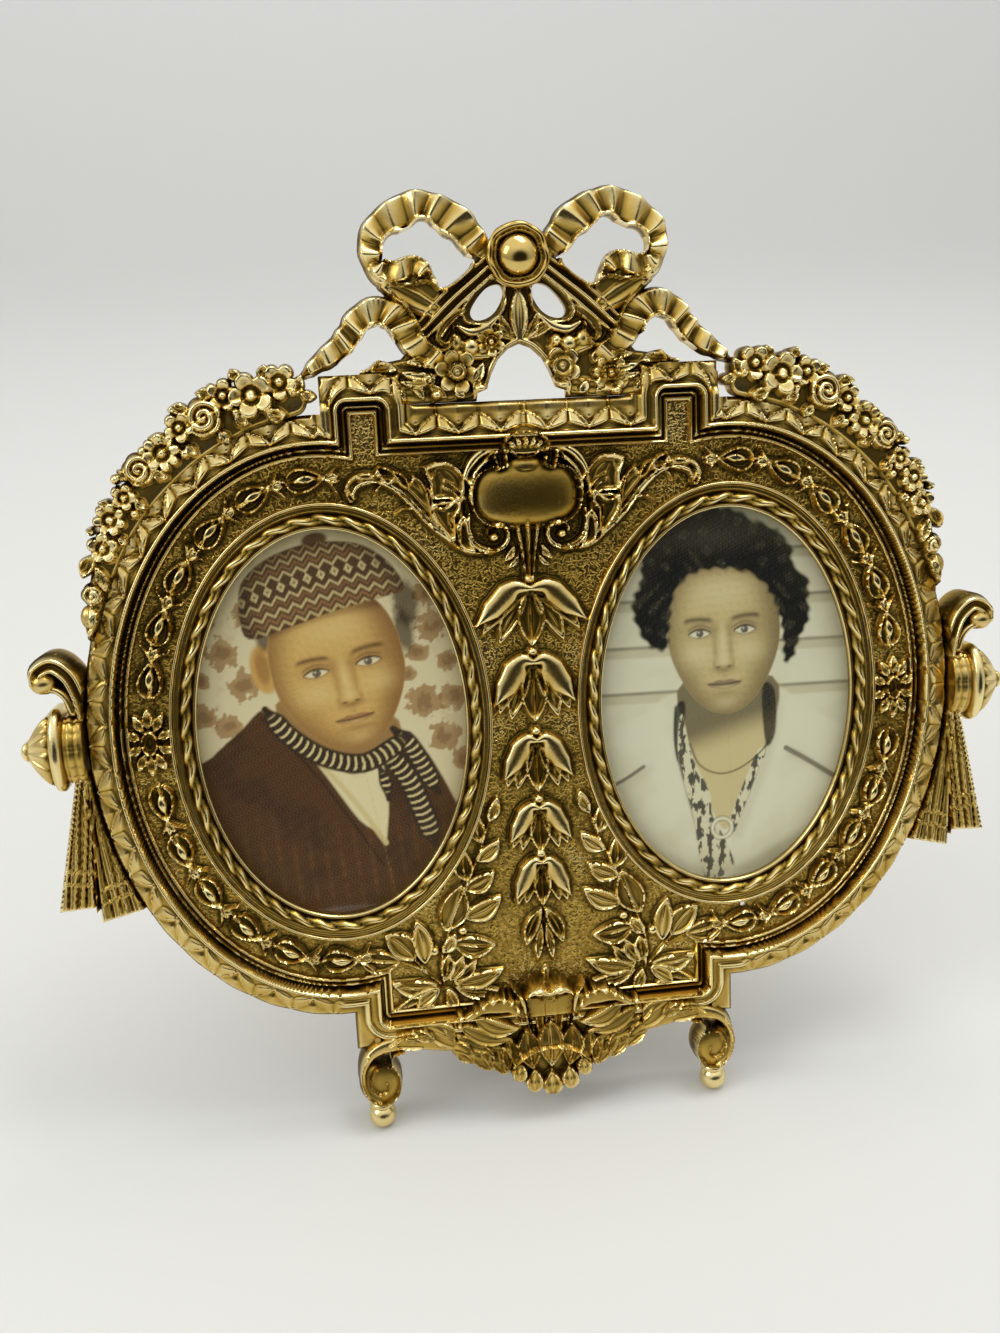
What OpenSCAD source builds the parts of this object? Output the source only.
// Double photo frame in gilt brass: two oval openings side by side in one stamped face, a cast rim, a
// ribbon bow crest, flower garlands, side torches with tassels, scroll feet and a hinged easel strut.
// Millimetres. The frame is drawn in its own plane: x across, z up along the frame from the centres of
// the ball feet, y backwards from the face. It is then leaned back, so that the balls and the strut's
// foot stand at Z = 0, with the origin at the middle of the box round everything, at its bottom.

/* [Stance] */
// How far the frame leans back from upright, in degrees
lean = 17; // [14:0.5:20]
// Angle between the opened strut and the back of the frame, in degrees
strut_open = 35; // [32:0.5:40]

/* [Openings] */
// Distance of each oval opening's centre from the middle line
oval_x = 55; // [54:0.5:58]
// Height of the oval openings' centres above the centres of the ball feet
oval_z = 115; // [113:0.5:117]
// Width of each oval opening
sight_w = 72; // [68:0.5:73]
// Height of each oval opening
sight_h = 107; // [102:0.5:108]

/* [Face] */
// Width of each rounded side of the face, as a full oval
face_oval_w = 109; // [107:0.5:112]
// Height of each rounded side of the face, as a full oval
face_oval_h = 146; // [144:0.5:149]
// Width of the square foot of the face
face_foot_w = 90; // [86:0.5:93]
// Height of the face's bottom edge
face_base_z = 31; // [30:0.5:32]
// Height of the face's top edge between the two tabs
face_head_z = 187.5; // [186:0.5:189]
// Distance of each upright tab's centre from the middle line
tab_x = 42; // [41:0.5:44]
// Width of each upright tab
tab_w = 7.6; // [6:0.2:9]
// Height of the tabs' top edge
tab_top_z = 198.4; // [197:0.2:199]
// Thickness of the stamped sheet
sheet_t = 1; // [0.8:0.1:1.2]
// Height of the stamped leaves above the face's ground
relief_h = 1.2; // [0.8:0.1:1.4]

/* [Rim] */
// Width of the rim outside the face's edge
rim_w = 10; // [9.6:0.1:10.6]
// Width of the dark channel between the face's edge and the rim
channel_w = 2.5; // [2:0.1:2.8]
// How far the rim's inner fillet stands in front of the face's ground
rim_front = 5; // [4.4:0.1:5.6]
// How far the rim's skirt reaches behind the face's ground
rim_back = 8; // [7:0.1:9]
// Wall thickness of the rim's skirt
skirt_t = 1.2; // [1:0.1:1.5]
// Width of the block round each tab
block_w = 21; // [19:0.5:23]
// Height of the blocks' top edge
block_top_z = 207.5; // [206:0.5:210]
// Height of the rim's top band between the blocks
band_top_z = 199.5; // [199:0.1:200.5]

/* [Crest] */
// Height of the bow crest above the rim's top band
crest_h = 53; // [48:0.5:58]
// Thickness of the crest in front of the face's ground
crest_front = 3; // [2:0.1:3.5]
// Thickness of the crest behind the face's ground
crest_back = 1.5; // [1:0.1:2]
// Diameter of the round boss on the bow's knot
boss_d = 16.8; // [15:0.2:18]
// Diameter of the boss's polished dome
dome_d = 10.6; // [9:0.2:12]

/* [Side ornaments] */
// How far the garlands stand in front of the face's ground
garland_front = 7; // [6:0.1:8]
// Radius of the largest garland flower
flower_r = 6; // [5:0.1:6.5]
// Radius of each torch's ring
torch_r = 11.3; // [10:0.1:12]
// Length of each torch from the rim to its tip
torch_len = 16.7; // [15:0.1:18]
// Height of the curled ribbon end above the torch's axis
curl_h = 24.4; // [22:0.1:26]
// Length of the tassels below the torch's axis
tassel_len = 50; // [46:0.5:52]

/* [Feet] */
// Distance of each foot's ball from the middle line
foot_x = 49.2; // [47:0.2:51]
// Radius of each foot's ball
ball_r = 3.9; // [3.5:0.1:4.4]
// Depth of the flat ground under each ball
ball_flat = 0.4; // [0.3:0.05:0.6]
// Radius of each foot's scroll
scroll_r = 6.2; // [5.6:0.1:6.6]
// How far the scrolls stand in front of the face's ground
scroll_front = 6; // [5:0.1:7]
// How far the shell apron stands in front of the face's ground
apron_front = 8; // [7:0.1:9]

/* [Glazing and backing] */
// Thickness of the glass
glass_t = 2; // [1.6:0.1:2.4]
// Thickness of each photographic print
print_t = 0.3; // [0.2:0.05:0.4]
// Thickness of each backing card
card_t = 1.6; // [1.2:0.1:2]
// Thickness of each sheet back cover
cover_t = 0.8; // [0.6:0.1:1]
// Overlap of the glass behind the face's oval opening
seat_lap = 3; // [2.5:0.1:3.4]
// Wall thickness of the seat ring soldered behind each opening
seat_wall = 1; // [0.8:0.1:1.2]
// Length of each turn button
button_len = 17; // [15:0.5:19]
// Width of each turn button
button_w = 5; // [4.4:0.1:6]
// Thickness of each turn button
button_t = 0.8; // [0.6:0.1:1]

/* [Strut and hinge] */
// Height of the hinge pin's axis along the frame
hinge_z = 160; // [154:0.5:162]
// Radius of the hinge pin
pin_r = 1.2; // [1:0.05:1.4]
// Outer radius of the hinge knuckles
knuckle_r = 2.4; // [2.2:0.05:2.6]
// Length of the strut's middle knuckle
strut_knuckle = 12; // [10:0.5:14]
// Length of each of the bracket's two knuckles
bracket_knuckle = 5; // [4:0.5:6]
// Thickness of the strut's plate
strut_t = 1.4; // [1.2:0.1:1.6]
// Width of the strut below its knuckle
strut_top_w = 24; // [20:0.5:26]
// Width of the strut's foot
strut_foot_w = 34; // [28:0.5:38]
// Width of the hinge bracket's plate
bracket_w = 34; // [32:0.5:36]
// Height of the hinge bracket's plate
bracket_h = 24; // [22:0.5:26]
// Thickness of the hinge bracket's plate
bracket_t = 1.2; // [1:0.1:1.4]
// Height of the bracket's bosses on the back of the face
boss_h = 4; // [3.5:0.1:4.5]

/* [Hidden] */

// Fits
fit_gap = 0.05;       // between pieces that are fixed face to face
pivot_gap = 0.1;      // above and below a turn button, on its pivot
body_gap = 0.3;       // between pieces that move past each other
stop_gap = 0.2;       // left at the strut's stop when it stands open
run_gap = 0.06;       // radial clearance of a turning fit
seat_gap = 0.3;       // round the glass, print, card and cover in the seat ring
cut = 1;              // overrun of every cut

// Smoothness
oval_n = 96;          // sides of the large ovals
round_n = 40;         // fragments of round pieces
curve_n = 4;          // steps between two points of a drawn curve

// Derived sizes of the face and rim
sight_a = sight_w / 2;
sight_b = sight_h / 2;
face_a = face_oval_w / 2;
face_b = face_oval_h / 2;
foot_half = face_foot_w / 2;
fillet_w = 1.7;       // width of the rim's bright inner fillet
border_w = 4;         // width of the rim's high leaf border outside the channel
border_front = 3.4;   // how far that border stands in front of the face's ground
shoulder_front = 1;   // how far the rim's outer shoulder stands in front of it
flange_w = 4.8;       // how far the face's flange runs out behind the rim
flange_t = sheet_t;
rim_side_x = oval_x + face_a + rim_w;
screw_line = (flange_w + rim_w - skirt_t) / 2;  // where the ornaments' screws stand outside the edge

// The oval bezel: a rope between a cove and a thin outer ridge, measured outwards from the opening
cove_w = 1.3;
rope_w = 3;
ridge_in = 6.2;
ridge_out = 7.2;
bezel_h = 0.8;
rope_h = 2.8;
ridge_h = 1.8;

// Face relief
bead_w = 0.9;         // the bright line round the face's edge
bead_h = 1.2;
plate_h = 3;          // dome of the blank cartouche
cartouche_z = 175;
cartouche_a = 13.8;
cartouche_b = 8.2;
frame_w = 2;          // moulding round the cartouche
wing_h = 2;
drop_shares = [       // bellflowers: top, bottom and half width, as shares of the drop's height
    [1, 0.84, 0.13], [0.81, 0.655, 0.095], [0.62, 0.475, 0.085], [0.44, 0.31, 0.078], [0.3, 0.2, 0.066]
];
drop_low_z = 38;
drop_high_z = 154;
drop_h = drop_high_z - drop_low_z;
petal_w = 6;
rosette_r = 6;
rosette_petals = 10;
petal_turn = 360 / rosette_petals;
husk_angles = [74, 63, 52, 41, 30, 19];
husk_turn = 9;          // how far round the opening a husk reaches back, in degrees
husk_len = 7;
husk_w = 3;
spray_h = 54;         // height of each laurel spray
spray_x = 29.5;
spray_z = 36;
spray_shares = [      // leaves of a spray: root, tip and width, as shares of its height
    [[-0.24, 0.68], [-0.33, 0.9], 0.085], [[-0.19, 0.56], [-0.24, 0.8], 0.085],
    [[-0.2, 0.55], [-0.39, 0.61], 0.06], [[-0.1, 0.4], [-0.12, 0.6], 0.1],
    [[-0.12, 0.4], [-0.34, 0.49], 0.085], [[-0.07, 0.29], [-0.33, 0.25], 0.085],
    [[0, 0.04], [-0.09, 0.29], 0.11], [[-0.02, 0.02], [-0.34, 0.06], 0.09],
    [[0.04, 0.15], [0.41, 0.27], 0.085], [[0.03, 0.08], [0.26, 0.34], 0.1],
    [[0.02, 0.02], [0.26, 0.09], 0.1]
];
stray_hole_r = 0.8;   // an old rivet hole low on the right of the face
stray_hole_x = 59;
stray_hole_z = 53.3;

// Depth of the glazing, counted backwards from the face's ground
glass_y = sheet_t + fit_gap;
print_y = glass_y + glass_t + fit_gap;
card_y = print_y + print_t + fit_gap;
cover_y = card_y + card_t + fit_gap;
cover_back_y = cover_y + cover_t;
button_y = cover_back_y + body_gap;
pivot_top_y = button_y - pivot_gap;
cover_bead_h = 0.5;
cover_bead_in = 8;    // how far inside its edge the cover's pressed bead runs
cover_bead_w = 3;
pivot_out = 8.5;      // how far outside the opening each turn button's pivot stands
pivot_boss_r = 2.6;
pivot_r = 1.2;
pivot_head_r = 2.2;
pivot_head_t = 1;
upper_turn = 90;      // where round the oval the pivots stand, in degrees from the outer side
lower_turn = -100;

// Hinge and strut
hinge_y = sheet_t + boss_h + bracket_t + knuckle_r + stop_gap;
pin_over = 0.6;       // how far the pin's ends stand out of the knuckles
pin_half = strut_knuckle / 2 + body_gap + bracket_knuckle + pin_over;
strut_tilt = strut_open - lean;
rest_drop = ball_r - ball_flat;
hinge_world_z = hinge_z * cos(lean) - hinge_y * sin(lean) + rest_drop;
strut_len = hinge_world_z / cos(strut_tilt);
axis_out = knuckle_r + stop_gap;
tail_len = (axis_out - strut_t / 2 * cos(strut_open) - stop_gap) / sin(strut_open);
strut_rib_h = 0.8;
strut_rib_w = 1.6;
strut_waist_share = 0.72;     // waist's width as a share of the top's width
strut_outline_shares = [0.06, 0.4, 0.82];   // where the strut's width changes, of its length

// Screws
screw_r = 0.8;
screw_head_r = 1.3;
screw_head_t = 0.9;
screw_depth = 2;      // how far a screw enters the piece that it holds
thread_gap = 0.03;    // radial clearance of a screw in its hole
bracket_screw_x = 13.5;
bracket_screw_z = 8.5;
bracket_boss_r = 2.4;
panel_screw_out = channel_w + (flange_w - channel_w) / 2;
panel_screw_angles = [-70, -35, 0, 35, 66];
garland_screw_angles = [80, 57, 30];
foot_screw_shares = [0.7, 1];     // across the foot, as shares of its distance from the middle
apron_screw_x = 12;
crest_screw_x = 23;
crest_screw_y = 4;
crest_foot_w = 18;    // width of each of the crest's two base bars
crest_foot_h = 2.4;
crest_foot_back = 6;
torch_screw_y = 4.5;

// Where the box round the standing frame begins and ends, front to back
apron_low_z = 8.5;    // lowest point of the apron's foremost layer
apron_ground = apron_front - 2 * relief_h;      // how far its leaves stand in front of the face
front_y = min(-apron_front * cos(lean) + apron_low_z * sin(lean), -apron_ground * cos(lean));
hinge_world_y = hinge_y * cos(lean) + hinge_z * sin(lean);
back_y = hinge_world_y + strut_len * sin(strut_tilt) + strut_t / 2 * cos(strut_tilt)
    + strut_t / 2 * sin(strut_tilt) * tan(strut_tilt);
middle_y = (front_y + back_y) / 2;

// Stands what is drawn in the frame's plane on the table, leaned back
module leaned() {
    translate([0, -middle_y, rest_drop]) rotate([-lean, 0, 0]) children();
}

// Extrudes an outline of the frame's plane from y = front back to y = back
module slab(front, back) {
    translate([0, back, 0]) rotate([90, 0, 0]) linear_extrude(back - front) children();
}

// Draws its children on one side of the middle line: 1 for the right, -1 for the left
module side(s) {
    mirror([s < 0 ? 1 : 0, 0, 0]) children();
}

module both_sides() {
    for (s = [-1, 1]) side(s) children();
}

// A solid of revolution whose axis runs along y through a point of the plane
module turned_y(x, z, y = 0) {
    translate([x, y, z]) rotate([90, 0, 0]) children();
}

function oval_points(x, z, a, b) =
    [for (i = [0 : oval_n - 1]) [x + a * cos(360 * i / oval_n), z + b * sin(360 * i / oval_n)]];

module oval(x, z, a, b) {
    polygon(oval_points(x, z, a, b));
}

module bar(x0, x1, z0, z1) {
    translate([x0, z0]) square([x1 - x0, z1 - z0]);
}

// A point on the oval that runs d outside the face's rounded side, t degrees up from the outer end
function face_point(t, d) = [oval_x + (face_a + d) * cos(t), oval_z + (face_b + d) * sin(t)];

// A smooth closed curve through drawn points
function blend(a, b, c, d, u) = 0.5 * (2 * b + (c - a) * u + (2 * a - 5 * b + 4 * c - d) * u * u
    + (3 * b - a - 3 * c + d) * u * u * u);
function curve(p) = [for (i = [0 : len(p) - 1], k = [0 : curve_n - 1])
    blend(p[(i + len(p) - 1) % len(p)], p[i], p[(i + 1) % len(p)], p[(i + 2) % len(p)], k / curve_n)];

// A pointed leaf from its root to its tip
leaf_n = 6;
function leaf_half(l, w, s) = [for (i = [0 : leaf_n]) [l * i / leaf_n, s * w / 2 * sin(180 * i / leaf_n)]];
module leaf(root, tip, w) {
    v = tip - root;
    p = leaf_half(norm(v), w, 1);
    q = leaf_half(norm(v), w, -1);
    translate(root) rotate(atan2(v[1], v[0]))
        polygon(concat(p, [for (i = [leaf_n - 1 : -1 : 1]) q[i]]));
}

// The face's outline, grown by d
module face_outline(d) {
    for (s = [-1, 1]) oval(s * oval_x, oval_z, face_a + d, face_b + d);
    bar(-foot_half - d, foot_half + d, face_base_z - d, face_head_z + d);
    both_sides() bar(tab_x - tab_w / 2 - d, tab_x + tab_w / 2 + d, oval_z, tab_top_z + d);
}

// The rim's outer outline, grown by d
module rim_outline(d) {
    for (s = [-1, 1]) oval(s * oval_x, oval_z, face_a + rim_w + d, face_b + rim_w + d);
    bar(-foot_half - rim_w - d, foot_half + rim_w + d, face_base_z - rim_w - d, oval_z);
    bar(-tab_x - d, tab_x + d, oval_z, band_top_z + d);
    both_sides() bar(tab_x - block_w / 2 - d, tab_x + block_w / 2 + d, oval_z, block_top_z + d);
}

// The rim's front steps; g grows them, to cut a seat for what sits on the rim
module rim_front_steps(g = 0) {
    slab(-rim_front - g, -border_front + (g > 0 ? cut : 0)) difference() {
        face_outline(channel_w + fillet_w + g);
        face_outline(channel_w - g);
    }
    slab(-border_front - g, -shoulder_front + (g > 0 ? cut : 0)) difference() {
        intersection() {
            face_outline(channel_w + border_w + g);
            rim_outline(g);
        }
        face_outline(channel_w - g);
    }
    slab(-shoulder_front - g, sheet_t) difference() {
        rim_outline(g);
        face_outline(channel_w - g);
    }
}

// Everything that an ornament on the front must keep clear of
module seat_cut() {
    rim_front_steps(fit_gap);
    slab(0, rim_back + cut) rim_outline(fit_gap);
    slab(-bead_h - fit_gap, rim_back) face_outline(channel_w + cut);
}

module screw_places_ornaments() {
    both_sides() {
        for (t = garland_screw_angles)
            translate([face_point(t, screw_line)[0], 0, face_point(t, screw_line)[1]]) children();
        for (k = foot_screw_shares)
            translate([foot_x * k, 0, face_base_z - screw_line]) children();
        translate([apron_screw_x, 0, face_base_z - screw_line]) children();
    }
}

module screw_places_panel() {
    both_sides() for (t = panel_screw_angles)
        translate([face_point(t, panel_screw_out)[0], 0, face_point(t, panel_screw_out)[1]]) children();
}

module screw_places_crest() {
    both_sides() translate([crest_screw_x, crest_screw_y, 0]) children();
}

module screw_places_bracket() {
    both_sides() for (s = [-1, 1])
        translate([bracket_screw_x, 0, hinge_z + s * bracket_screw_z]) children();
}

// A screw driven forwards (towards the viewer) with its head's seat at y = 0
module screw(grip, depth) {
    turned_y(0, 0) {
        cylinder(h = grip + depth, r = screw_r, $fn = round_n);
        translate([0, 0, -screw_head_t]) cylinder(h = screw_head_t, r = screw_head_r, $fn = round_n);
    }
}

// The hole for it, as deep as the screw plus a gap at its end
module screw_hole(grip, depth) {
    turned_y(0, 0) translate([0, 0, -cut])
        cylinder(h = grip + depth + fit_gap + cut, r = screw_r + thread_gap, $fn = round_n);
}

// Where the ornaments' screws start: the rim's back face
module ornament_holes() {
    screw_places_ornaments() translate([0, sheet_t, 0])
        screw_hole(sheet_t + shoulder_front, screw_depth);
}

module panel_holes() {
    screw_places_panel() translate([0, sheet_t + flange_t, 0]) screw_hole(flange_t, screw_depth);
}

module crest_holes() {
    screw_places_crest() translate([0, 0, band_top_z - skirt_t]) rotate([-90, 0, 0])
        screw_hole(skirt_t, screw_depth);
}

module torch_holes() {
    both_sides() translate([rim_side_x - skirt_t, torch_screw_y, oval_z]) rotate([0, 0, 90])
        screw_hole(skirt_t, screw_depth);
}

module rim_frame() {
    color("goldenrod") leaned() difference() {
        union() {
            rim_front_steps();
            slab(0, rim_back) difference() {
                rim_outline(0);
                rim_outline(-skirt_t);
            }
        }
        ornament_holes();
        panel_holes();
        crest_holes();
        torch_holes();
    }
}

module bezel() {
    for (s = [-1, 1]) {
        slab(-bezel_h, sheet_t) difference() {
            oval(s * oval_x, oval_z, sight_a + ridge_out, sight_b + ridge_out);
            oval(s * oval_x, oval_z, sight_a, sight_b);
        }
        slab(-rope_h, 0) difference() {
            oval(s * oval_x, oval_z, sight_a + cove_w + rope_w, sight_b + cove_w + rope_w);
            oval(s * oval_x, oval_z, sight_a + cove_w, sight_b + cove_w);
        }
        slab(-ridge_h, 0) difference() {
            oval(s * oval_x, oval_z, sight_a + ridge_out, sight_b + ridge_out);
            oval(s * oval_x, oval_z, sight_a + ridge_in, sight_b + ridge_in);
        }
    }
}

// The blank cartouche under the crest, with its moulding, volutes and leafy wings
volute_r = 4;
volute_x = 8;
wing_shares = [       // one wing's outline, as shares of the cartouche's half width
    [0.72, 0.75], [1.1, 0.7], [1.3, 0.5], [1.5, 0.58], [1.95, 0.52], [2.15, 0.1], [2.1, -0.35],
    [1.85, -0.75], [1.4, -1.05], [0.95, -1.1], [0.55, -1]
];
tip_shares = [        // the long leaf that runs from the wing along the bezel
    [2, -0.2], [2.3, 0.35], [2.75, 0.6], [3.3, 0.3], [2.9, 0.38], [2.5, 0.1], [2.25, -0.5]
];
cap_shares = [[-0.5, 0.7], [-0.35, 1.02], [0, 1.08], [0.35, 1.02], [0.5, 0.7]];
module cartouche() {
    slab(-plate_h, 0) oval(0, cartouche_z, cartouche_a, cartouche_b);
    slab(-wing_h, 0) {
        oval(0, cartouche_z, cartouche_a + frame_w, cartouche_b + frame_w);
        translate([0, cartouche_z]) polygon(cap_shares * cartouche_a);
        both_sides() translate([0, cartouche_z]) {
            polygon(curve(wing_shares * cartouche_a));
            translate([volute_x, -cartouche_b - frame_w]) circle(r = volute_r, $fn = round_n);
        }
    }
    slab(-relief_h, 0) both_sides() translate([0, cartouche_z]) polygon(curve(tip_shares * cartouche_a));
}

// The drop of bellflowers down the middle
module bellflowers() {
    for (f = drop_shares) {
        top = drop_low_z + f[0] * drop_h;
        low = drop_low_z + f[1] * drop_h;
        half = f[2] * drop_h;
        slab(-relief_h, 0) both_sides() {
            leaf([0, top], [half, low + (top - low) / 3], petal_w);
            leaf([0, top], [half * 2 / 3, low + (top - low) / 6], petal_w);
        }
        slab(-relief_h * 2, 0) leaf([0, top], [0, low], petal_w);
    }
    slab(-relief_h, 0) {
        // the last bud grows out of the flower above it
        end = drop_low_z + drop_h * drop_shares[4][1] + petal_w / 2;
        both_sides() leaf([0, end], [petal_w * 2 / 3, end - petal_w * 2], petal_w);
        leaf([0, end], [0, drop_low_z], petal_w / 2);
    }
}

// The laurel spray, husk trail and rosette of one side
module side_relief() {
    slab(-relief_h, 0) {
        translate([spray_x, spray_z]) for (l = spray_shares)
            leaf(l[0] * spray_h, l[1] * spray_h, l[2] * spray_h);
        for (s = [-1, 1], t = husk_angles)
            leaf(face_point(s * t, -husk_len * 0.9), face_point(s * (t - husk_turn), -husk_len * 0.6), husk_w);
        translate(face_point(0, -rosette_r)) for (i = [0 : rosette_petals - 1])
            rotate(i * petal_turn) leaf([0, 0], [rosette_r * 0.95, 0], rosette_r * 0.5);
    }
    slab(-relief_h * 1.6, 0) translate(face_point(0, -rosette_r)) circle(r = rosette_r / 3, $fn = round_n);
}

module pivot_places(upper) {
    t = upper ? upper_turn : lower_turn;
    translate([oval_x + (sight_a + pivot_out) * cos(t), 0, oval_z + (sight_b + pivot_out) * sin(t)])
        children();
}

module face_panel() {
    color("darkgoldenrod") leaned() difference() {
        union() {
            slab(0, sheet_t) face_outline(0);
            slab(-bead_h, 0) difference() {
                face_outline(0);
                face_outline(-bead_w);
            }
            // the sheet steps back at its edge into the flange that the rim covers
            slab(0, sheet_t + flange_t) difference() {
                face_outline(sheet_t);
                face_outline(0);
            }
            slab(sheet_t + fit_gap, sheet_t + flange_t) difference() {
                face_outline(flange_w);
                face_outline(0);
            }
            slab(0, sheet_t + flange_t) difference() {
                face_outline(0);
                face_outline(-sheet_t);
            }
            bezel();
            cartouche();
            bellflowers();
            both_sides() side_relief();
            // bosses on the back for the turn buttons' pivots and the hinge bracket
            both_sides() for (upper = [false, true]) pivot_places(upper)
                turned_y(0, 0, pivot_top_y) cylinder(h = pivot_top_y, r = pivot_boss_r, $fn = round_n);
            screw_places_bracket() turned_y(0, 0, sheet_t + boss_h)
                cylinder(h = boss_h + sheet_t / 2, r = bracket_boss_r, $fn = round_n);
        }
        for (s = [-1, 1]) slab(-rope_h - cut, sheet_t + cut) oval(s * oval_x, oval_z, sight_a, sight_b);
        both_sides() for (upper = [false, true]) pivot_places(upper)
            turned_y(0, 0, pivot_top_y + cut)
                cylinder(h = screw_depth + cut + fit_gap, r = pivot_r + thread_gap, $fn = round_n);
        screw_places_bracket() translate([0, sheet_t + boss_h, 0]) screw_hole(0, screw_depth);
        panel_holes();
        turned_y(stray_hole_x, stray_hole_z, sheet_t + cut)
            cylinder(h = sheet_t + 2 * cut, r = stray_hole_r, $fn = round_n);
    }
}

// The bow: its outlines are shares of its own height, from the middle of its base
loop_shares = [
    [0.11, 0.7], [0.16, 0.83], [0.22, 0.91], [0.28, 0.945], [0.34, 0.98], [0.425, 0.995], [0.51, 0.98],
    [0.585, 0.955], [0.66, 0.895], [0.725, 0.82], [0.755, 0.745], [0.74, 0.67], [0.705, 0.595],
    [0.655, 0.54], [0.585, 0.5], [0.49, 0.5], [0.4, 0.53], [0.26, 0.54], [0.15, 0.6]
];
loop_hole_shares = [
    [0.2, 0.64], [0.225, 0.725], [0.28, 0.79], [0.34, 0.83], [0.405, 0.85], [0.48, 0.83], [0.54, 0.8],
    [0.595, 0.78], [0.622, 0.735], [0.613, 0.69], [0.575, 0.665], [0.5, 0.67], [0.435, 0.648],
    [0.387, 0.59], [0.345, 0.553], [0.274, 0.58]
];
ribbon_shares = [
    [0.45, 0.12], [0.49, 0.31], [0.545, 0.42], [0.6, 0.51], [0.65, 0.522], [0.715, 0.5], [0.783, 0.453],
    [0.82, 0.377], [0.887, 0.31], [0.953, 0.255], [1.04, 0.2], [1.065, 0.162], [0.95, 0.15], [0.75, 0.15],
    [0.57, 0.11]
];
ribbon_hole_shares = [
    [0.595, 0.34], [0.632, 0.37], [0.69, 0.362], [0.736, 0.32], [0.783, 0.265], [0.83, 0.222],
    [0.82, 0.193], [0.765, 0.185], [0.7, 0.202], [0.632, 0.26]
];
small_hole_shares = [
    [0.066, 0.54], [0.104, 0.557], [0.16, 0.53], [0.217, 0.472], [0.238, 0.415], [0.217, 0.385],
    [0.16, 0.39], [0.104, 0.434], [0.068, 0.487]
];
field_shares = [
    [0, 0.004], [0.605, 0.004], [0.61, 0.155], [0.57, 0.24], [0.45, 0.39], [0.26, 0.58], [0.11, 0.69],
    [0, 0.71]
];
arch_shares = [
    [-0.1, -0.02], [0.23, -0.02], [0.226, 0.038], [0.175, 0.043], [0.164, 0.066], [0.15, 0.132],
    [0.113, 0.2], [0.057, 0.25], [0, 0.277], [-0.1, 0.277]
];
strap_shares = [[0.09, 0.62], [0.16, 0.67], [0.5, 0.33], [0.42, 0.24]];
bloom_shares = [      // small flowers under the knot: place and radius
    [0.21, 0.13, 0.06], [0.47, 0.1, 0.055], [0.12, 0.29, 0.04], [0.34, 0.2, 0.04]
];

module bloom(r, petals) {
    for (i = [0 : petals - 1]) rotate(i * 360 / petals) translate([r * 0.58, 0])
        circle(r = r * 0.42, $fn = round_n);
    circle(r = r * 0.5, $fn = round_n);
}

bloom_petals = 5;
function above(front) = front + relief_h;
boss_share = 0.675;    // where the knot's boss stands, as a share of the crest's height
boss_z = band_top_z + crest_h * boss_share;
stem_r = 2;
module bow_crest() {
    color("goldenrod") leaned() difference() {
        union() {
            translate([0, 0, band_top_z]) {
                slab(-crest_front + relief_h, crest_back) difference() {
                    union() {
                        both_sides() {
                            polygon(curve(loop_shares * crest_h));
                            polygon(curve(ribbon_shares * crest_h));
                            polygon(field_shares * crest_h);
                        }
                        translate([0, crest_h * boss_share]) circle(d = boss_d, $fn = round_n);
                    }
                    both_sides() {
                        polygon(curve(loop_hole_shares * crest_h));
                        polygon(curve(ribbon_hole_shares * crest_h));
                        polygon(curve(small_hole_shares * crest_h));
                        polygon(arch_shares * crest_h);
                    }
                }
                // the ribbons' folds stand higher than the field between them
                slab(-crest_front, 0) difference() {
                    both_sides() {
                        polygon(curve(loop_shares * crest_h));
                        polygon(curve(ribbon_shares * crest_h));
                        polygon(strap_shares * crest_h);
                    }
                    both_sides() {
                        polygon(curve(loop_hole_shares * crest_h));
                        polygon(curve(ribbon_hole_shares * crest_h));
                        polygon(curve(small_hole_shares * crest_h));
                        bar(-cut, crest_h, -cut, crest_h * ribbon_shares[12][1] + cut);
                    }
                }
                slab(-above(crest_front), 0) both_sides() for (b = bloom_shares)
                    translate([b[0] * crest_h, b[1] * crest_h]) bloom(b[2] * crest_h, bloom_petals);
            }
            both_sides() slab(-crest_front + relief_h, crest_foot_back)
                bar(crest_screw_x - crest_foot_w / 2, crest_screw_x + crest_foot_w / 2,
                    band_top_z + fit_gap, band_top_z + crest_foot_h);
        }
        seat_cut();
        crest_holes();
        turned_y(0, boss_z, crest_back + cut)
            cylinder(h = crest_front + crest_back + 2 * cut, r = stem_r + fit_gap, $fn = round_n);
        // the flat seat under the boss's ring
        turned_y(0, boss_z, -crest_front + relief_h)
            cylinder(h = crest_front + cut, d = boss_d + 2 * fit_gap, $fn = round_n);
    }
}

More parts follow.
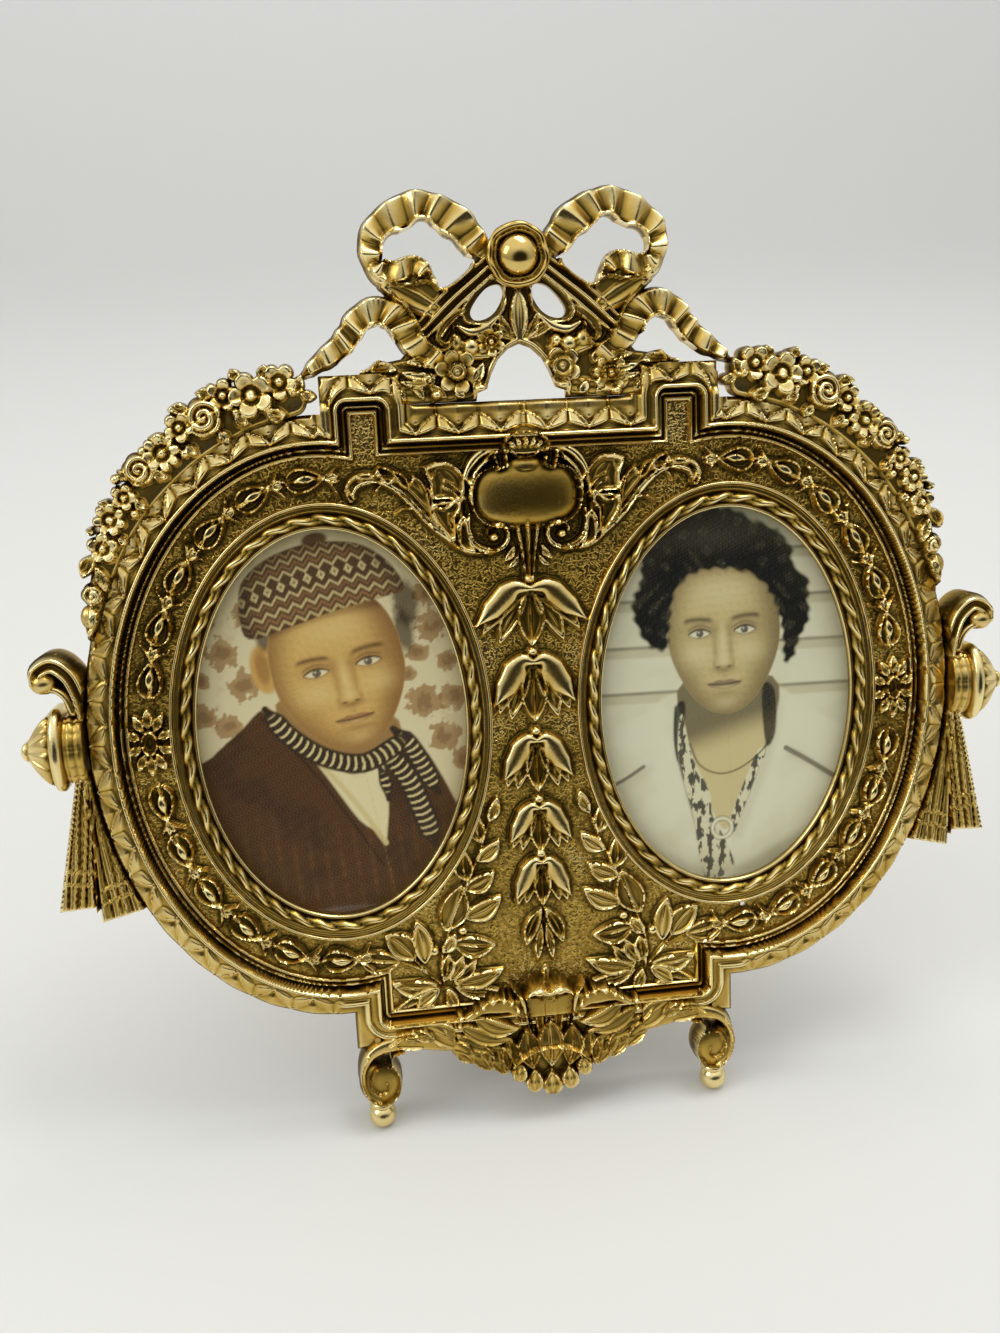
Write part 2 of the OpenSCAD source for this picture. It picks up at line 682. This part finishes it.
boss_ring_h = 2.2;
boss_dome_h = 4.4;
rivet_head_r = 3;
rivet_head_t = 0.8;
module crest_boss() {
    ring_y = crest_front - relief_h + fit_gap;
    color("gold") leaned() turned_y(0, boss_z) {
        rotate_extrude($fn = round_n * 2) polygon([
            [0, ring_y], [boss_d / 2, ring_y], [boss_d / 2, ring_y + boss_ring_h / 2],
            [boss_d / 2 - boss_ring_h / 2, ring_y + boss_ring_h],
            [dome_d / 2 + boss_ring_h / 2, ring_y + boss_ring_h],
            [dome_d / 2, ring_y + boss_ring_h / 2],
            [dome_d / 2 * cos(20), ring_y + boss_ring_h / 2 + boss_dome_h * sin(30)],
            [dome_d / 2 * cos(50), ring_y + boss_ring_h / 2 + boss_dome_h * sin(60)],
            [dome_d / 2 * cos(75), ring_y + boss_ring_h / 2 + boss_dome_h * 0.97],
            [0, ring_y + boss_ring_h / 2 + boss_dome_h]
        ]);
        translate([0, 0, -crest_back - fit_gap - rivet_head_t])
            cylinder(h = ring_y + crest_back + fit_gap + rivet_head_t + boss_ring_h / 2, r = stem_r,
                $fn = round_n);
        translate([0, 0, -crest_back - fit_gap - rivet_head_t])
            cylinder(h = rivet_head_t, r = rivet_head_r, $fn = round_n);
    }
}

// A garland over one shoulder: flowers by angle round the rim, distance out and size, as shares
garland_flowers = [
    [84, 1.86, 0.85], [79, 1.62, 1], [73.5, 1.86, 0.75], [68.5, 1.62, 0.95], [63, 1.66, 0.7],
    [57, 1.56, 0.85], [51, 1.62, 0.85], [46, 1.54, 0.6], [42, 1.52, 0.7], [37.5, 1.38, 0.75],
    [32, 1.38, 0.6], [28.4, 1.2, 0.5], [24.6, 1.1, 0.4]
];
garland_in_share = 0.82;      // inner edge of the garland's leafy ground, as a share of the rim
garland_out_share = 1.5;      // outer edge of it
garland_back = 2;
garland_step = 3;
garland_leaf_h = 4.6;
module garland(s) {
    first = garland_flowers[len(garland_flowers) - 1][0];
    last = garland_flowers[0][0];
    turns = [for (t = [first : garland_step : last]) t];
    back_turns = [for (i = [len(turns) - 1 : -1 : 0]) turns[i]];
    taper = function (t) 0.25 + 0.75 * min(1, (t - first) / 20);
    color("goldenrod") leaned() side(s) difference() {
        union() {
            slab(-garland_leaf_h, garland_back) polygon(concat(
                [for (t = turns) face_point(t, rim_w * garland_in_share)],
                [for (t = back_turns)
                    face_point(t, rim_w * (1 + (garland_out_share - 1) * taper(t)))]));
            for (f = garland_flowers) {
                p = face_point(f[0], rim_w * f[1]);
                r = f[2] * flower_r;
                slab(-garland_front + relief_h, garland_back) translate(p) rotate(f[0])
                    bloom(r, bloom_petals);
                slab(-garland_front, 0) translate(p) circle(r = r * 0.3, $fn = round_n);
            }
        }
        seat_cut();
        ornament_holes();
    }
}

// A side torch: a ringed cone on its side, a curled ribbon end above it and two tassels below
knot_w = 5.5;
ring_w = 3.5;
torch_back = 6;
torch_axis = -1;       // how far back the plane of its widest outline lies
torch_bulge_share = 0.65;      // how far it stands out of that plane, as a share of its radius
torch_front = torch_axis - torch_r * torch_bulge_share;
curl_shares = [       // outline of the curl, as shares of its height, from the rim's side
    [-0.05, 0.4], [-0.05, 0.76], [0.1, 0.9], [0.22, 0.99], [0.37, 0.99], [0.5, 0.9], [0.553, 0.755],
    [0.49, 0.63], [0.37, 0.57], [0.287, 0.49], [0.2, 0.3]
];
tail_shares = [       // outlines of the two tassels, as shares of their length
    [[-0.02, -0.12], [0.11, -0.2], [0.19, -0.48], [0.255, -0.7], [0.265, -0.88], [0.05, -0.87], [0.02, -0.5]],
    [[-0.06, -0.2], [0.03, -0.3], [0.04, -0.86], [0.02, -0.98], [-0.02, -1], [-0.2, -0.915], [-0.13, -0.5]]
];
tail_front = 3;
tail_back = 4.5;
tip_r = 1.4;
function torch_outline() = let (ring_x = knot_w + ring_w) [      // distance out from the rim, and radius
    [-cut, torch_r * 0.75], [knot_w / 2, torch_r * 0.85], [knot_w, torch_r * 0.75], [knot_w, torch_r * 0.97],
    [knot_w + ring_w / 2, torch_r], [ring_x, torch_r * 0.97], [ring_x, torch_r * 0.85],
    [ring_x + (torch_len - ring_x) * 0.45, torch_r * 0.55], [torch_len - tip_r, tip_r],
    [torch_len, tip_r * 0.6]
];
module torch(s) {
    outline = torch_outline();
    upside = [for (i = [len(outline) - 1 : -1 : 0]) [outline[i][0], -outline[i][1]]];
    color("goldenrod") leaned() side(s) difference() {
        union() {
            intersection() {
                translate([rim_side_x, torch_axis, oval_z]) scale([1, torch_bulge_share, 1]) rotate([0, 90, 0])
                    rotate_extrude($fn = round_n * 2) polygon(concat(
                        [[0, -cut]], [for (p = outline) [p[1], p[0]]], [[0, torch_len]]));
                translate([rim_side_x - 2 * cut, torch_front - cut, oval_z - torch_r - cut])
                    cube([torch_len + 4 * cut, torch_axis - torch_front + 2 * cut, 2 * (torch_r + cut)]);
            }
            slab(torch_axis, torch_back) translate([rim_side_x, oval_z]) polygon(concat(outline, upside));
            slab(torch_front + 2 * relief_h, torch_back) translate([rim_side_x, oval_z])
                polygon(curve(curl_shares * curl_h));
            for (i = [0, 1]) slab(-tail_front - i, tail_back) translate([rim_side_x, oval_z])
                polygon(tail_shares[i] * tassel_len);
        }
        slab(torch_front - cut, rim_back + cut) rim_outline(fit_gap);
        torch_holes();
    }
}

// A scroll foot with its ball, and the leafy arm that runs in to the apron
scroll_z = 10.8;
scroll_back = 3;
arm_shares = [        // outline of leg and arm, as shares of the ball's distance from the middle
    [0.56, 0.55], [0.66, 0.53], [0.76, 0.525], [0.88, 0.525], [0.98, 0.515], [1.07, 0.46], [1.12, 0.37],
    [1.135, 0.25], [1.1, 0.13], [1.05, 0.06], [0.95, 0.06], [0.9, 0.15], [0.885, 0.25], [0.93, 0.34],
    [0.9, 0.395], [0.81, 0.41], [0.71, 0.395], [0.63, 0.36], [0.56, 0.325]
];
eye_r = 2.2;
arm_start_share = 0.555;
module foot(s) {
    color("goldenrod") difference() {
        leaned() side(s) difference() {
            union() {
                slab(-scroll_front + relief_h, scroll_back) intersection() {
                    polygon(curve(arm_shares * foot_x));
                    bar(foot_x * arm_start_share, foot_x * 2, -ball_r, foot_x);
                }
                translate([foot_x, 0, scroll_z]) {
                    slab(-scroll_front, scroll_back) circle(r = scroll_r, $fn = round_n);
                    slab(-above(scroll_front), 0) circle(r = eye_r, $fn = round_n);
                }
                translate([foot_x, 0, 0]) sphere(r = ball_r, $fn = round_n);
            }
            seat_cut();
            slab(-shoulder_front - fit_gap, rim_back + cut) rim_outline(fit_gap);
            ornament_holes();
        }
        translate([-oval_x * 2, -oval_x * 2, -ball_r * 2]) cube([oval_x * 4, oval_x * 4, ball_r * 2]);
    }
}

// The shell apron between the feet
apron_shares = [      // half its outline, as shares of the ball's distance from the middle
    [0, 0], [0.06, 0.02], [0.125, 0.075], [0.175, 0.15], [0.205, 0.2], [0.285, 0.21], [0.37, 0.225],
    [0.45, 0.26], [0.51, 0.305], [0.55, 0.31], [0.55, 0.55], [0.51, 0.6], [0.43, 0.625], [0.35, 0.625],
    [0.265, 0.65], [0.205, 0.72], [0.145, 0.675], [0.128, 0.72], [0.07, 0.75], [0, 0.735]
];
shell_shares = [[0, 0.173], [0.2, 0.22], [0.235, 0.36], [0.15, 0.5], [0.12, 0.64], [0, 0.68]];
apron_back = 3;
module shell_apron() {
    color("goldenrod") leaned() difference() {
        union() {
            slab(-apron_ground, apron_back) both_sides() polygon(apron_shares * foot_x);
            slab(-apron_front, 0) both_sides()
                polygon([for (p = shell_shares) [p[0] * foot_x, max(p[1] * foot_x, apron_low_z)]]);
        }
        seat_cut();
        ornament_holes();
    }
}

module seat_ring(s) {
    inside = seat_lap + seat_gap;
    color("peru") leaned() slab(sheet_t + fit_gap, cover_back_y) difference() {
        oval(s * oval_x, oval_z, sight_a + inside + seat_wall, sight_b + inside + seat_wall);
        oval(s * oval_x, oval_z, sight_a + inside, sight_b + inside);
    }
}

// An oval sheet in the seat ring, from y = front back to y = back
module oval_sheet(s, front, thick) {
    leaned() slab(front, front + thick) oval(s * oval_x, oval_z, sight_a + seat_lap, sight_b + seat_lap);
}

module glass(s) {
    color("lightblue", 0.4) oval_sheet(s, glass_y, glass_t);
}

module print(s) {
    color(s < 0 ? "saddlebrown" : "beige") oval_sheet(s, print_y, print_t);
}

module backing_card(s) {
    color("tan") oval_sheet(s, card_y, card_t);
}

module back_cover(s) {
    bead_edge = seat_lap - cover_bead_in;
    color("peru") {
        oval_sheet(s, cover_y, cover_t);
        leaned() slab(cover_back_y - cover_t / 2, cover_back_y + cover_bead_h) difference() {
            oval(s * oval_x, oval_z, sight_a + bead_edge, sight_b + bead_edge);
            oval(s * oval_x, oval_z, sight_a + bead_edge - cover_bead_w, sight_b + bead_edge - cover_bead_w);
        }
    }
}

module turn_button(s, upper) {
    straight = button_len - button_w;
    color("gold") leaned() side(s) pivot_places(upper) turned_y(0, 0, button_y + button_t)
        linear_extrude(button_t) difference() {
            union() {
                for (k = [-1, 1]) translate([0, k * straight / 2]) circle(d = button_w, $fn = round_n);
                translate([-button_w / 2, -straight / 2]) square([button_w, straight]);
            }
            circle(r = pivot_r + run_gap, $fn = round_n);
        }
}

module turn_button_screws() {
    color("silver") leaned() both_sides() for (upper = [false, true]) pivot_places(upper)
        turned_y(0, 0, button_y + button_t + pivot_gap) {
            cylinder(h = screw_depth + button_t + 2 * pivot_gap, r = pivot_r, $fn = round_n);
            translate([0, 0, -pivot_head_t]) cylinder(h = pivot_head_t, r = pivot_head_r, $fn = round_n);
        }
}

module hinge_bracket() {
    plate_y = sheet_t + boss_h + fit_gap;
    inner = strut_knuckle / 2 + body_gap;
    color("goldenrod") leaned() difference() {
        union() {
            slab(plate_y, plate_y + bracket_t)
                bar(-bracket_w / 2, bracket_w / 2, hinge_z - bracket_h / 2, hinge_z + bracket_h / 2);
            both_sides() {
                translate([inner, hinge_y, hinge_z]) rotate([0, 90, 0])
                    cylinder(h = bracket_knuckle, r = knuckle_r, $fn = round_n);
                translate([inner, plate_y + bracket_t / 2, hinge_z - knuckle_r])
                    cube([bracket_knuckle, hinge_y - plate_y - bracket_t / 2, 2 * knuckle_r]);
            }
        }
        translate([-bracket_w, hinge_y, hinge_z]) rotate([0, 90, 0])
            cylinder(h = 2 * bracket_w, r = pin_r + thread_gap, $fn = round_n);
        screw_places_bracket() translate([0, plate_y + bracket_t, 0]) screw_hole(bracket_t, screw_depth);
    }
}

module hinge_pin() {
    color("silver") leaned() translate([-pin_half, hinge_y, hinge_z]) rotate([0, 90, 0])
        cylinder(h = 2 * pin_half, r = pin_r, $fn = round_n);
}

// The strut, drawn hanging from the pin with its length along -z, then opened
module strut_outline() {
    w = [strut_top_w / 2, strut_top_w / 2 * strut_waist_share, strut_foot_w / 2];
    z = strut_outline_shares * strut_len;
    drop = strut_len + strut_t;
    both_sides() polygon([
        [0, 0], [strut_knuckle / 2, 0], [strut_knuckle / 2, -knuckle_r - body_gap],
        [w[0], -z[0]], [w[1], -z[1]], [w[2], -z[2]], [w[2], -drop], [0, -drop]
    ]);
}

module easel_strut() {
    rib_x = strut_top_w / 2 * strut_waist_share - 2 * strut_rib_w;
    color("goldenrod") difference() {
        leaned() translate([0, hinge_y, hinge_z]) rotate([strut_open, 0, 0]) difference() {
            union() {
                slab(-strut_t / 2, strut_t / 2) {
                    strut_outline();
                    bar(-strut_knuckle / 2, strut_knuckle / 2, 0, tail_len);
                }
                translate([-strut_knuckle / 2, 0, 0]) rotate([0, 90, 0])
                    cylinder(h = strut_knuckle, r = knuckle_r, $fn = round_n);
                both_sides() slab(0, strut_t / 2 + strut_rib_h)
                    bar(rib_x, rib_x + strut_rib_w, -strut_len * strut_outline_shares[2], -2 * knuckle_r);
            }
            translate([-strut_knuckle, 0, 0]) rotate([0, 90, 0])
                cylinder(h = 2 * strut_knuckle, r = pin_r + run_gap, $fn = round_n);
        }
        translate([-strut_foot_w, -strut_len, -strut_len]) cube([2 * strut_foot_w, 3 * strut_len, strut_len]);
    }
}

module panel_screws() {
    color("silver") leaned() screw_places_panel() translate([0, sheet_t + flange_t + fit_gap, 0])
        screw(flange_t + fit_gap, screw_depth);
}

module ornament_screws() {
    color("silver") leaned() screw_places_ornaments() translate([0, sheet_t + fit_gap, 0])
        screw(sheet_t + shoulder_front + fit_gap, screw_depth);
}

module crest_screws() {
    color("silver") leaned() screw_places_crest()
        translate([0, 0, band_top_z - skirt_t - fit_gap]) rotate([-90, 0, 0])
            screw(skirt_t + fit_gap, screw_depth);
}

module torch_screws() {
    color("silver") leaned() both_sides()
        translate([rim_side_x - skirt_t - fit_gap, torch_screw_y, oval_z]) rotate([0, 0, 90])
            screw(skirt_t + fit_gap, screw_depth);
}

module bracket_screws() {
    color("silver") leaned() screw_places_bracket()
        translate([0, sheet_t + boss_h + 2 * fit_gap + bracket_t, 0])
            screw(bracket_t + 2 * fit_gap, screw_depth - fit_gap);
}

rim_frame();
face_panel();
bow_crest();
crest_boss();
garland(-1);  // garland_left
garland(1);  // garland_right
torch(-1);  // torch_left
torch(1);  // torch_right
foot(-1);  // foot_left
foot(1);  // foot_right
shell_apron();
seat_ring(-1);  // seat_ring_left
seat_ring(1);  // seat_ring_right
glass(-1);  // glass_left
glass(1);  // glass_right
print(-1);  // print_left
print(1);  // print_right
backing_card(-1);  // backing_card_left
backing_card(1);  // backing_card_right
back_cover(-1);  // back_cover_left
back_cover(1);  // back_cover_right
turn_button(-1, true);  // turn_button_upper_left
turn_button(1, true);  // turn_button_upper_right
turn_button(-1, false);  // turn_button_lower_left
turn_button(1, false);  // turn_button_lower_right
turn_button_screws();
hinge_bracket();
hinge_pin();
easel_strut();
panel_screws();
ornament_screws();
crest_screws();
torch_screws();
bracket_screws();
